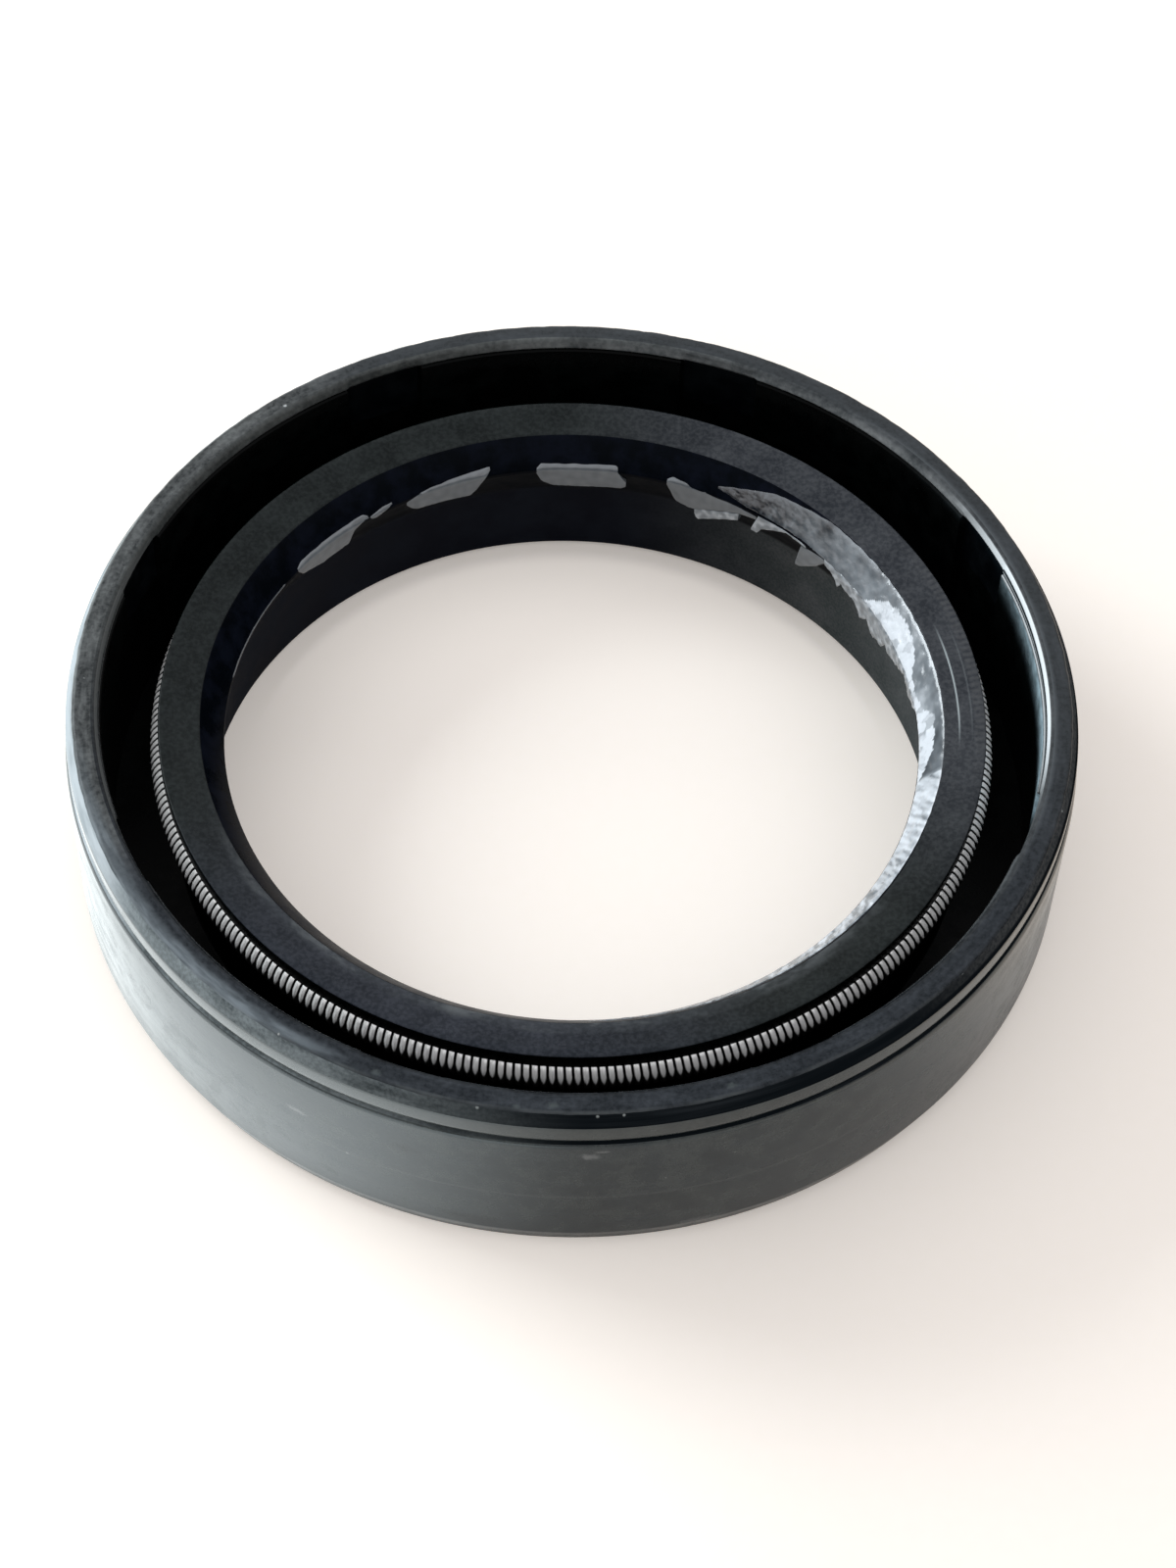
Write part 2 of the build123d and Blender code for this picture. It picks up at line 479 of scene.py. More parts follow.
def pale_tone(angle, reach):
    return 0.55 + 0.3 * ripple(angle, reach, 0.3, 22)


def thread_tone(angle, _):
    return 0.10 + 0.05 * cos(radians((angle - 160) * 9))


# Smears and flakes on the far side: name, tone, upper edge and lower edge.
SMEARS = (
    (
        "grease_smear_left",
        grey_tone,
        ((129.5, 0.12), (130.4, 0.3), (137.3, 0.29), (145, 0.26), (146.4, 0.1)),
        (
            (129.5, 0.0), (130.4, 0.0), (132.7, -0.3), (134, -0.95), (140, -0.97),
            (144.9, -0.57), (146.4, -0.1),
        ),
    ),
    (
        "grease_smear_sliver",
        grey_tone,
        ((124.5, 0.2), (127, 0.15), (129.2, 0.02)),
        ((124.5, 0.1), (126.8, -0.17), (128.2, -0.27), (129.2, -0.1)),
    ),
    (
        "grease_smear_middle",
        grey_tone,
        ((106, 0.45), (107, 0.42), (112, 0.3), (119, 0.1), (121.8, -0.2)),
        ((106, 0.3), (108.7, -0.82), (109.8, -1.12), (119.6, -0.95), (120.7, -0.78), (121.8, -0.4)),
    ),
    (
        "grease_smear_far",
        grey_tone,
        ((82.2, -0.7), (83.2, -0.3), (83.9, 0.35), (90, 0.28), (97.2, 0.32), (98, 0.1)),
        ((82.2, -0.95), (83, -1.1), (90, -1.2), (95, -1.12), (97, -0.8), (98, -0.2)),
    ),
    (
        "grease_smear_right",
        grey_tone,
        ((57.8, -0.2), (62, -0.1), (66, -0.1), (74, 0.3), (75, 0.1)),
        ((57.8, -0.4), (61.6, -0.58), (69.5, -1.42), (71, -1.4), (73.2, -1.2), (75, -0.2)),
    ),
    (
        "grease_smear_strip",
        pale_tone,
        ((61.3, -0.6), (69.6, -1.45)),
        ((61.3, -1.05), (69.0, -2.05), (69.6, -1.7)),
    ),
    (
        "grease_flake_1",
        pale_tone,
        ((47, -0.1), (51, -0.04), (57.4, -0.06), (58.6, -1.1)),
        ((47, -0.25), (51.4, -0.12), (53.8, -0.45), (56.8, -0.9), (57.2, -1.26), (58.6, -1.25)),
    ),
    (
        "grease_flake_2",
        grey_tone,
        ((42.4, -0.05), (44.6, -0.1), (48.2, -0.35), (48.9, -1.6)),
        ((42.4, -0.25), (44.4, -0.95), (47.9, -1.75), (48.9, -1.8)),
    ),
)
THREAD_UPPER = ((150, 0.04), (172, 0.04))
THREAD_LOWER = ((150, -0.04), (172, -0.05))


def make_grease():
    film = grease("grease_film")
    fine = {"crumple": 0.05, "column": 0.25, "rows": 22}
    smear("grease_film", film, film_tone, FILM_UPPER, FILM_LOWER, **fine)
    grey = grease("grease_grey")
    for name, tone, upper, lower in SMEARS:
        smear(name, grey, tone, upper, lower)
    torn = {"ragged": 0.12, "crumple": 0.06, "column": 0.25, "rows": 14}
    smear("grease_fringe", film, pale_tone, FRINGE_UPPER, FRINGE_LOWER, **torn)
    smear("grease_thread", grey, thread_tone, THREAD_UPPER, THREAD_LOWER, ragged=0.015, rows=4)


# ---------------------------------------------------------------- node helpers
class Nodes:
    """Adds nodes to a tree. An input is a number, a colour or another node's output socket."""

    def __init__(self, tree):
        self.tree = tree

    def add(self, kind, inputs=(), **settings):
        node = self.tree.nodes.new(kind)
        for name, value in settings.items():
            setattr(node, name, value)
        for key, value in dict(inputs).items():
            self.plug(node.inputs[key], value)
        return node

    def plug(self, socket, value):
        if isinstance(value, bpy.types.NodeSocket):
            self.tree.links.new(value, socket)
        else:
            socket.default_value = value

    def math(self, operation, *values, clamp=False):
        node = self.add("ShaderNodeMath", enumerate(values), operation=operation, use_clamp=clamp)
        return node.outputs[0]

    def times(self, first, second):
        return self.math("MULTIPLY", first, second)

    def plus(self, first, second):
        return self.math("ADD", first, second)

    def minus(self, first, second):
        return self.math("SUBTRACT", first, second)

    def line(self, value, factor, start):
        """start plus the value times the factor."""
        return self.math("MULTIPLY_ADD", value, factor, start)

    def blend(self, first, share, second, other_share):
        """The sum of two values, each times its share."""
        return self.line(first, share, self.times(second, other_share))

    def rise(self, value, low, high):
        """0 below low, 1 above high, smooth between them."""
        inputs = {"Value": value, "From Min": low, "From Max": high}
        return self.add("ShaderNodeMapRange", inputs, interpolation_type="SMOOTHSTEP").outputs[0]

    def fall(self, value, low, high):
        """1 below low, 0 above high, smooth between them."""
        return self.minus(1.0, self.rise(value, low, high))

    def tint(self, mask, first, second, most=None):
        """The first colour where the mask is 0, the second where it is 1. most weakens the mask."""
        factor = mask if most is None else self.times(mask, most)
        mix = self.add("ShaderNodeMix", {"Factor": factor}, data_type="RGBA")
        self.plug(mix.inputs[6], first)
        self.plug(mix.inputs[7], second)
        return mix.outputs[2]

    def noise(self, where, scale, detail=3.0, rough=0.55):
        inputs = {"Vector": where, "Scale": scale, "Detail": detail, "Roughness": rough}
        return self.add("ShaderNodeTexNoise", inputs).outputs["Fac"]

    def axes(self, where):
        """The X, Y and Z of a vector."""
        return self.add("ShaderNodeSeparateXYZ", {"Vector": where}).outputs

    def length(self, where):
        node = self.add("ShaderNodeVectorMath", {0: where}, operation="LENGTH")
        return node.outputs["Value"]

    def millimetres(self):
        """Object coordinates in millimetres."""
        scaled = self.add("ShaderNodeVectorMath", operation="SCALE")
        self.plug(scaled.inputs[0], self.add("ShaderNodeTexCoord").outputs["Object"])
        self.plug(scaled.inputs["Scale"], 1 / MM)
        return scaled.outputs[0]

    def group(self, tree, **inputs):
        """The outputs of a node group that is placed here with these inputs."""
        return self.add("ShaderNodeGroup", inputs, node_tree=tree).outputs

    def mask(self, tree, **inputs):
        return self.group(tree, **inputs)["Mask"]


def new_group(name, inputs, outputs=("Mask",)):
    """A shader node group with number sockets of these names and the inputs' first values."""
    tree = bpy.data.node_groups.new(name, "ShaderNodeTree")
    for socket, value in inputs.items():
        made = tree.interface.new_socket(socket, in_out="INPUT", socket_type="NodeSocketFloat")
        made.default_value = value
    for socket in outputs:
        tree.interface.new_socket(socket, in_out="OUTPUT", socket_type="NodeSocketFloat")
    given = tree.nodes.new("NodeGroupInput").outputs
    return Nodes(tree), given, tree.nodes.new("NodeGroupOutput").inputs


# ---------------------------------------------------------------- effects that materials share
def place_group():
    """Where a point lies on the seal: radius and height in mm, angle in degrees from +X."""
    nodes, _, out = new_group("seal_place", {}, ("Radius", "Height", "Angle"))
    x, y, z = nodes.axes(nodes.millimetres())
    square = nodes.plus(nodes.times(x, x), nodes.times(y, y))
    nodes.plug(out["Radius"], nodes.math("SQRT", square))
    nodes.plug(out["Height"], z)
    nodes.plug(out["Angle"], nodes.times(nodes.math("ARCTAN2", y, x), 180 / pi))
    return nodes.tree


def grain_group():
    """Even mottling: Scale is in features per millimetre, Low and High set its contrast."""
    nodes, given, out = new_group("grain", {"Scale": 1, "Low": 0.3, "High": 0.7})
    cloud = nodes.noise(nodes.millimetres(), given["Scale"], 4.0, 0.6)
    nodes.plug(out["Mask"], nodes.rise(cloud, given["Low"], given["High"]))
    return nodes.tree


def streak_group():
    """Mottling drawn out round the axis: Length is in degrees, Fineness in streaks per mm."""
    inputs = {"Length": 20, "Fineness": 2, "Low": 0.3, "High": 0.7}
    nodes, given, out = new_group("streaks", inputs)
    x, y, z = nodes.axes(nodes.millimetres())
    radius = nodes.length(nodes.add("ShaderNodeCombineXYZ", {"X": x, "Y": y}).outputs[0])
    across = nodes.times(nodes.minus(radius, z), given["Fineness"])
    per_radian = nodes.math("DIVIDE", 57.3, given["Length"])
    around = nodes.math("DIVIDE", per_radian, radius)
    drawn = {"X": nodes.times(x, around), "Y": nodes.times(y, around), "Z": across}
    cloud = nodes.noise(nodes.add("ShaderNodeCombineXYZ", drawn).outputs[0], 1.0, 3.0, 0.6)
    nodes.plug(out["Mask"], nodes.rise(cloud, given["Low"], given["High"]))
    return nodes.tree


def speck_group():
    """Scattered specks: Scale is in cells per millimetre, Size is a speck's share of its cell."""
    nodes, given, out = new_group("specks", {"Scale": 2, "Size": 0.2, "Share": 0.3})
    place = nodes.millimetres()
    stir = nodes.add("ShaderNodeTexNoise", {"Vector": place, "Scale": 9.0, "Detail": 2.0})
    shaken = nodes.add(
        "ShaderNodeVectorMath",
        {0: stir.outputs["Color"], 1: (0.12, 0.12, 0.12), 2: place},
        operation="MULTIPLY_ADD",
    )
    cells = nodes.add(
        "ShaderNodeTexVoronoi",
        {"Vector": shaken.outputs[0], "Scale": given["Scale"], "Randomness": 1.0},
    )
    near = nodes.math("LESS_THAN", cells.outputs["Distance"], given["Size"])
    pick = nodes.add("ShaderNodeSeparateColor", {"Color": cells.outputs["Color"]}).outputs[0]
    nodes.plug(out["Mask"], nodes.times(near, nodes.math("LESS_THAN", pick, given["Share"])))
    return nodes.tree


def band_group():
    """1 where a value lies between From and To, with soft ends this wide."""
    nodes, given, out = new_group("band", {"Value": 0, "From": 0, "To": 1, "Soft": 0.1})
    value, first, last, soft = given["Value"], given["From"], given["To"], given["Soft"]
    start = nodes.rise(value, nodes.minus(first, soft), first)
    end = nodes.rise(value, last, nodes.plus(last, soft))
    nodes.plug(out["Mask"], nodes.math("SUBTRACT", start, end, clamp=True))
    return nodes.tree


def spot_group():
    """One ragged spot. Around is degrees from its middle, Level is how far above it in mm."""
    inputs = {"Around": 0, "Radius": 22, "Level": 0, "Long": 1, "Tall": 1}
    nodes, given, out = new_group("spot", inputs)
    turned = nodes.times(nodes.times(given["Around"], pi / 180), given["Radius"])
    long = nodes.math("DIVIDE", turned, given["Long"])
    tall = nodes.math("DIVIDE", given["Level"], given["Tall"])
    away = nodes.math("SQRT", nodes.plus(nodes.times(long, long), nodes.times(tall, tall)))
    ragged = nodes.line(nodes.noise(nodes.millimetres(), 5.0), 1.2, nodes.minus(away, 0.6))
    nodes.plug(out["Mask"], nodes.fall(ragged, 0.15, 1.05))
    return nodes.tree


PLACE = place_group()
GRAIN = grain_group()
STREAKS = streak_group()
SPECKS = speck_group()
BAND = band_group()
SPOT = spot_group()


def oil_and_painted_light_group():
    """Painted light on an oily film on the cavity's wall away from the window, strongest at the
    top.
    """
    nodes, _, out = new_group("oil_film_with_painted_light", {})
    place = nodes.group(PLACE)
    runs = nodes.mask(GRAIN, Scale=1.6, Low=0.3, High=0.75)
    # The painted light fades out downwards, where the head's shadow falls: painted shade.
    lower = nodes.line(place["Angle"], -0.05, nodes.plus(place["Height"], 0.4))
    fade = nodes.math("POWER", nodes.rise(lower, 6.6, 9.6), 3.0)
    # The painted light lies only on the side that faces the window.
    strong = nodes.mask(BAND, Value=place["Angle"], From=-16, To=21, Soft=2)
    weak = nodes.mask(BAND, Value=place["Angle"], From=-16, To=42, Soft=22)
    sector = nodes.blend(weak, 0.12, strong, 0.85)
    wall = nodes.math("GREATER_THAN", place["Radius"], SKIN_R - 0.3)
    oil_and_painted_light = nodes.times(nodes.times(fade, sector), wall)
    nodes.plug(out["Mask"], nodes.times(oil_and_painted_light, nodes.line(runs, 0.6, 0.45)))
    return nodes.tree


OIL_AND_PAINTED_LIGHT = oil_and_painted_light_group()


# ---------------------------------------------------------------- materials
class Material(Nodes):
    """The nodes of a new material, with constants set on the sockets of its Principled shader."""

    def __init__(self, name, **constants):
        self.material = bpy.data.materials.new(name)
        self.material.use_nodes = True
        super().__init__(self.material.node_tree)
        self.shader = self.tree.nodes["Principled BSDF"].inputs
        for socket, value in constants.items():
            self.shader[socket.replace("_", " ")].default_value = value

    def finish(self, colour, rough, height=None, relief=0.001):
        """Plugs in colour, roughness and a bump this many millimetres high. Gives the material."""
        self.plug(self.shader["Base Color"], colour)
        self.plug(self.shader["Roughness"], rough)
        if height:
            bump = {"Height": height, "Distance": relief * MM, "Strength": 1.0}
            self.plug(self.shader["Normal"], self.add("ShaderNodeBump", bump).outputs["Normal"])
        return self.material


def facing(nodes, place, azimuth, low, high):
    """1 round this angle, fading out where the cosine of the angle away falls from high to low."""
    away = nodes.minus(place["Angle"], azimuth)
    return nodes.rise(nodes.math("COSINE", nodes.times(away, pi / 180)), low, high)


def spot(nodes, place, angle, level, length, height):
    """One spot at this angle, where height less radius is this level, this long and high in mm."""
    above = nodes.minus(nodes.minus(place["Height"], place["Radius"]), level)
    around = nodes.minus(place["Angle"], angle)
    sizes = {"Long": length, "Tall": height}
    return nodes.mask(SPOT, Around=around, Radius=place["Radius"], Level=above, **sizes)


def rim_grain(nodes):
    """The rim's drawn-out patches, its fine grain, and both together."""
    patches = nodes.mask(STREAKS, Length=7, Fineness=2.0, Low=0.38, High=0.68)
    fine = nodes.mask(GRAIN, Scale=4.0, Low=0.34, High=0.68)
    return patches, fine, nodes.blend(fine, 0.45, patches, 0.55)


# Smudges on the press-fit wall: angle, height, length, tallness and tone.
OUTER_SPOTS = (
    (-86.5, 7.35, 0.55, 0.28, 0.16),
    (-85.2, 7.70, 0.45, 0.12, 0.13),
    (-112.9, 4.03, 0.12, 0.10, 0.22),
    (-106.0, 6.05, 1.10, 0.55, 0.004),
    (-119.0, 5.60, 0.60, 0.20, 0.20),
    (-99.0, 1.60, 2.20, 0.50, 0.004),
    (-74.0, 1.20, 1.60, 0.25, 0.09),
)
# Flecks and smudges on the rim: angle, radius and size.
RIM_FLECKS = ((131.1, 21.31, 0.11), (-152.4, 21.06, 0.09))
RIM_SMUDGES = (
    (-90.6, 21.70, 0.32),
    (-94.4, 21.86, 0.20),
    (-71.0, 21.60, 0.30),
    (-110.0, 21.75, 0.30),
)
# Flecks on the chamfer: angle, height less radius, and size.
CHAMFER_FLECKS = (
    (-85.8, -12.25, 0.09),
    (-83.0, -12.25, 0.08),
    (-98.5, -12.22, 0.10),
    (-41.0, -12.1, 0.09),
    (-15.2, -12.2, 0.08),
)
MOULD_LINE = {"From": 4.04, "To": 4.10, "Soft": 0.04}  # heights on the press-fit wall


def outer_rubber():
    """Satin press-fit wall with its bead and foot: mottled, handled, with a faint mould line."""
    nodes = Material("outer_rubber", Specular_Tint=(0.90, 0.96, 1.0, 1))
    place = nodes.group(PLACE)
    streaks = nodes.mask(STREAKS, Length=25, Fineness=1.4, Low=0.35, High=0.7)
    blots = nodes.mask(GRAIN, Scale=0.35, Low=0.35, High=0.75)
    mottle = nodes.mask(GRAIN, Scale=0.9, Low=0.42, High=0.66)
    fine = nodes.mask(GRAIN, Scale=5.0, Low=0.3, High=0.7)
    grit = nodes.mask(GRAIN, Scale=13.0, Low=0.3, High=0.7)
    specks = nodes.mask(SPECKS, Scale=1.1, Size=0.05, Share=0.25)
    line = nodes.mask(BAND, Value=place["Height"], **MOULD_LINE)
    bead = nodes.rise(place["Height"], 8.36, 8.46)
    colour = nodes.tint(blots, (0.003, 0.008, 0.010, 1), (0.010, 0.018, 0.022, 1))
    colour = nodes.tint(streaks, colour, (0.022, 0.031, 0.035, 1), 0.6)
    colour = nodes.tint(mottle, colour, (0.050, 0.060, 0.056, 1), 0.5)
    colour = nodes.tint(fine, colour, (0.034, 0.042, 0.047, 1), 0.3)
    colour = nodes.tint(line, colour, (0.06, 0.065, 0.065, 1), 0.5)
    colour = nodes.tint(specks, colour, (0.12, 0.13, 0.13, 1))
    colour = nodes.tint(grit, colour, (0.060, 0.064, 0.062, 1), 0.2)
    colour = nodes.tint(bead, colour, (0.060, 0.066, 0.062, 1), 0.45)
    for angle, height, length, tall, tone in OUTER_SPOTS:
        smudge = spot(nodes, place, angle, height - OUTER_R, length, tall)
        colour = nodes.tint(smudge, colour, (tone, tone * 1.06, tone * 1.08, 1), 0.75)
    rough = nodes.line(nodes.math("MAXIMUM", blots, mottle), 0.11, 0.15)
    rough = nodes.plus(rough, nodes.times(streaks, 0.08))
    return nodes.finish(colour, rough, nodes.line(line, 0.5, fine))


def rim_rubber():
    """The flat rim: grained, worn along its outer edge, dusty and painted lighter towards the
    window.
    """
    nodes = Material("rim_rubber", Specular_IOR_Level=0.1)
    place = nodes.group(PLACE)
    patches, _, grain = rim_grain(nodes)
    specks = nodes.mask(SPECKS, Scale=1.3, Size=0.07, Share=0.2)
    worn = nodes.mask(STREAKS, Length=8, Fineness=1.0, Low=0.35, High=0.65)
    colour = nodes.tint(grain, (0.005, 0.008, 0.011, 1), (0.038, 0.044, 0.052, 1))
    lifted = facing(nodes, place, 60, -0.1, 0.7)
    colour = nodes.tint(lifted, colour, (0.060, 0.066, 0.066, 1), 0.3)
    # Dust towards the window, painted lighter there as a painted highlight.
    dust_and_painted_light = nodes.tint(grain, (0.018, 0.021, 0.022, 1), (0.120, 0.128, 0.128, 1))
    colour = nodes.tint(facing(nodes, place, 165, 0.66, 0.84), colour, dust_and_painted_light)
    # A painted sheen by the inner edge on the right.
    inner = nodes.fall(place["Radius"], 21.05, 21.45)
    painted_sheen = nodes.times(inner, facing(nodes, place, 15, 0.70, 0.95))
    colour = nodes.tint(painted_sheen, colour, (0.120, 0.135, 0.145, 1), 0.8)
    # The worn outer edge, painted lighter towards the window as a painted highlight.
    outside = nodes.times(nodes.rise(place["Radius"], 21.86, 21.98), worn)
    far = facing(nodes, place, 140, 0.55, 0.85)
    wear_and_painted_highlight = nodes.tint(far, (0.085, 0.097, 0.102, 1), (0.30, 0.33, 0.33, 1))
    unworn = facing(nodes, place, 5, 0.4, 0.8)
    outside = nodes.times(outside, nodes.minus(1.0, unworn))
    colour = nodes.tint(outside, colour, wear_and_painted_highlight, 0.65)
    # Lighter and bluer on the front left: handling marks, and a painted highlight.
    near_left = facing(nodes, place, 219, 0.86, 0.98)
    handling_and_painted_highlight = nodes.times(near_left, nodes.rise(place["Radius"], 21.35, 21.80))
    handling_and_painted_highlight = nodes.times(handling_and_painted_highlight, nodes.line(patches, 0.6, 0.4))
    colour = nodes.tint(handling_and_painted_highlight, colour, (0.175, 0.205, 0.225, 1))
    colour = nodes.tint(specks, colour, (0.30, 0.32, 0.32, 1))
    for angle, radius, size in RIM_FLECKS:
        fleck = spot(nodes, place, angle, WIDTH - radius, size, size)
        colour = nodes.tint(fleck, colour, (0.5, 0.53, 0.53, 1))
    for angle, radius, size in RIM_SMUDGES:
        smudge = spot(nodes, place, angle, WIDTH - radius, size, size * 0.7)
        colour = nodes.tint(smudge, colour, (0.105, 0.125, 0.125, 1), 0.4)
    return nodes.finish(colour, nodes.line(grain, 0.15, 0.25), grain, 0.003)


def edge_rubber():
    """The rim's sloped inner edge: grained like the rim, with a painted sheen on the right."""
    nodes = Material("edge_rubber", Specular_IOR_Level=0.1)
    place = nodes.group(PLACE)
    radius = place["Radius"]
    patches, fine, grain = rim_grain(nodes)
    # Bands for two painted highlight lines along the edge, and a painted shade line between them.
    line = nodes.mask(BAND, Value=radius, From=20.945, To=21.03, Soft=0.045)
    second = nodes.mask(BAND, Value=radius, From=20.83, To=20.865, Soft=0.02)
    painted_shade_line = nodes.mask(BAND, Value=radius, From=20.885, To=20.915, Soft=0.02)
    colour = nodes.tint(grain, (0.002, 0.004, 0.006, 1), (0.026, 0.031, 0.036, 1))
    # Lighter towards the far left: dust, and painted light.
    dust_and_painted_light = nodes.tint(grain, (0.030, 0.034, 0.034, 1), (0.085, 0.092, 0.090, 1))
    colour = nodes.tint(facing(nodes, place, 125, 0.30, 0.85), colour, dust_and_painted_light)
    # A painted sheen on the right, strongest low on the slope.
    painted_sheen = nodes.tint(grain, (0.085, 0.095, 0.100, 1), (0.250, 0.265, 0.270, 1))
    inside = nodes.fall(radius, 20.90, 21.10)
    painted_sheen_mask = nodes.times(facing(nodes, place, 32, 0.05, 1.0), nodes.line(inside, 0.75, 0.25))
    colour = nodes.tint(painted_sheen_mask, colour, painted_sheen)
    # Painted highlight lines on the left.
    painted_left_highlight = facing(nodes, place, 182, 0.88, 0.97)
    painted_left_highlight = nodes.times(painted_left_highlight, nodes.math("ADD", line, second, clamp=True))
    colour = nodes.tint(painted_left_highlight, colour, (0.100, 0.108, 0.108, 1))
    # Near-white painted highlight lines on the right.
    painted_highlight = facing(nodes, place, 10, 0.895, 0.985)
    painted_highlight = nodes.times(painted_highlight, nodes.math("MAXIMUM", line, nodes.times(second, 0.5)))
    colour = nodes.tint(painted_highlight, colour, (0.90, 0.97, 1.0, 1))
    # Painted shade in the groove between the two lines, on the right.
    painted_shade_line = nodes.times(painted_shade_line, facing(nodes, place, 6, 0.93, 0.97))
    colour = nodes.tint(painted_shade_line, colour, (0.010, 0.016, 0.020, 1))
    return nodes.finish(colour, nodes.line(patches, 0.06, 0.25), fine)


def chamfer_rubber():
    """The chamfer outside the rim: black, with dust and a painted reflection in patches towards the
    window.
    """
    nodes = Material("chamfer_rubber", Specular_IOR_Level=0.0)
    place = nodes.group(PLACE)
    streaks = nodes.mask(STREAKS, Length=30, Fineness=2.0, Low=0.45, High=0.8)
    patches = nodes.mask(STREAKS, Length=7, Fineness=1.2, Low=0.3, High=0.6)
    fine = nodes.mask(GRAIN, Scale=6.0, Low=0.35, High=0.65)
    grain = nodes.blend(fine, 0.4, patches, 0.6)
    colour = nodes.tint(streaks, (0.005, 0.007, 0.009, 1), (0.018, 0.022, 0.026, 1))
    # Dust in patches, with a painted reflection of the window, on the left.
    dust_and_painted_light = nodes.tint(grain, (0.07, 0.085, 0.09, 1), (0.24, 0.28, 0.295, 1))
    colour = nodes.tint(facing(nodes, place, 198, 0.25, 0.88), colour, dust_and_painted_light)
    # Paler still round the left: painted reflection.
    pale_painted_light = nodes.tint(patches, (0.38, 0.44, 0.47, 1), (0.56, 0.63, 0.67, 1))
    colour = nodes.tint(facing(nodes, place, 188, 0.86, 0.97), colour, pale_painted_light)
    upper = nodes.fall(place["Radius"], 22.22, 22.28)
    upper = nodes.times(upper, facing(nodes, place, 5, 0.55, 0.85))
    grey = nodes.tint(fine, (0.030, 0.033, 0.036, 1), (0.060, 0.064, 0.066, 1))
    colour = nodes.tint(upper, colour, grey)
    for angle, level, size in CHAMFER_FLECKS:
        fleck = spot(nodes, place, angle, level, size, size * 1.4)
        colour = nodes.tint(fleck, colour, (0.26, 0.29, 0.29, 1))
    return nodes.finish(colour, nodes.plus(0.2, nodes.times(streaks, 0.15)), fine)


def head_rubber():
    """The head's face: dark and grained, dusty by the lip. The turns print ribs at its edge."""
    nodes = Material("head_rubber", Specular_IOR_Level=0.07)
    place = nodes.group(PLACE)
    angle, radius = place["Angle"], place["Radius"]
    clouds = nodes.mask(GRAIN, Scale=0.5, Low=0.35, High=0.68)
    fine = nodes.mask(GRAIN, Scale=5.0, Low=0.37, High=0.65)
    specks = nodes.mask(SPECKS, Scale=0.9, Size=0.05, Share=0.3)
    smudge = nodes.mask(STREAKS, Length=6, Fineness=1.5, Low=0.45, High=0.7)
    grain = nodes.blend(fine, 0.6, clouds, 0.4)
    # The ribs printed by the turns are drawn only on the right, painted lighter: partly a painted
    # highlight.
    ribs = nodes.math("SINE", nodes.times(angle, TURNS * pi / 180))
    band = nodes.mask(BAND, Value=radius, From=17.98, To=18.5, Soft=0.14)
    side = nodes.mask(BAND, Value=angle, From=2, To=22, Soft=18)
    ribs = nodes.times(nodes.line(ribs, 0.5, 0.5), nodes.times(band, side))
    # Painted highlight lines on the head's small steps, on the right.
    bright = nodes.mask(BAND, Value=angle, From=3, To=12, Soft=8)
    painted_highlight_rings = nodes.mask(BAND, Value=radius, From=17.20, To=17.24, Soft=0.03)
    faint = nodes.mask(BAND, Value=radius, From=17.76, To=17.80, Soft=0.03)
    painted_highlight_rings = nodes.times(bright, nodes.line(faint, 0.12, painted_highlight_rings))
    colour = nodes.tint(grain, (0.003, 0.005, 0.005, 1), (0.017, 0.021, 0.021, 1))
    # Lighter at the front and on the right, where window light falls on the face: painted light.
    blue = nodes.tint(grain, (0.009, 0.012, 0.017, 1), (0.034, 0.038, 0.048, 1))
    colour = nodes.tint(facing(nodes, place, -110, 0.60, 1.0), colour, blue)
    grey = nodes.tint(grain, (0.017, 0.020, 0.025, 1), (0.052, 0.056, 0.062, 1))
    colour = nodes.tint(facing(nodes, place, 30, 0.40, 0.87), colour, grey)
    by_lip = nodes.fall(radius, 16.55, 17.3)
    dust_and_painted_light = nodes.times(facing(nodes, place, -95, 0.3, 0.9), by_lip)
    dust_and_painted_light = nodes.times(dust_and_painted_light, nodes.line(smudge, 0.7, 0.2))
    colour = nodes.tint(dust_and_painted_light, colour, (0.110, 0.120, 0.125, 1))
    colour = nodes.tint(ribs, colour, (0.085, 0.088, 0.090, 1), 0.4)
    colour = nodes.tint(painted_highlight_rings, colour, (0.30, 0.34, 0.35, 1))
    colour = nodes.tint(specks, colour, (0.10, 0.11, 0.12, 1))
    rough = nodes.plus(0.24, nodes.times(clouds, 0.1))
    return nodes.finish(colour, rough, nodes.line(ribs, 2.0, grain), 0.003)


def black_rubber(name, gloss, dark, light, oil_and_painted_light=None):
    """Clean black rubber with faint blots. The last argument, if given, colours an oily film with
    painted light.
    """
    nodes = Material(name, Specular_IOR_Level=gloss)
    blots = nodes.mask(GRAIN, Scale=0.9, Low=0.35, High=0.7)
    fine = nodes.mask(GRAIN, Scale=6.0, Low=0.3, High=0.7)
    colour = nodes.tint(blots, dark, light)
    if oil_and_painted_light:
        colour = nodes.tint(nodes.mask(OIL_AND_PAINTED_LIGHT), colour, oil_and_painted_light)
    return nodes.finish(colour, nodes.plus(0.25, nodes.times(blots, 0.1)), fine)


def lip_rubber():
    """The lip's oil-side cone: blue-black and nearly without gloss where it is dry."""
    return black_rubber("lip_rubber", 0.02, (0.0006, 0.0015, 0.003, 1), (0.0035, 0.005, 0.010, 1))


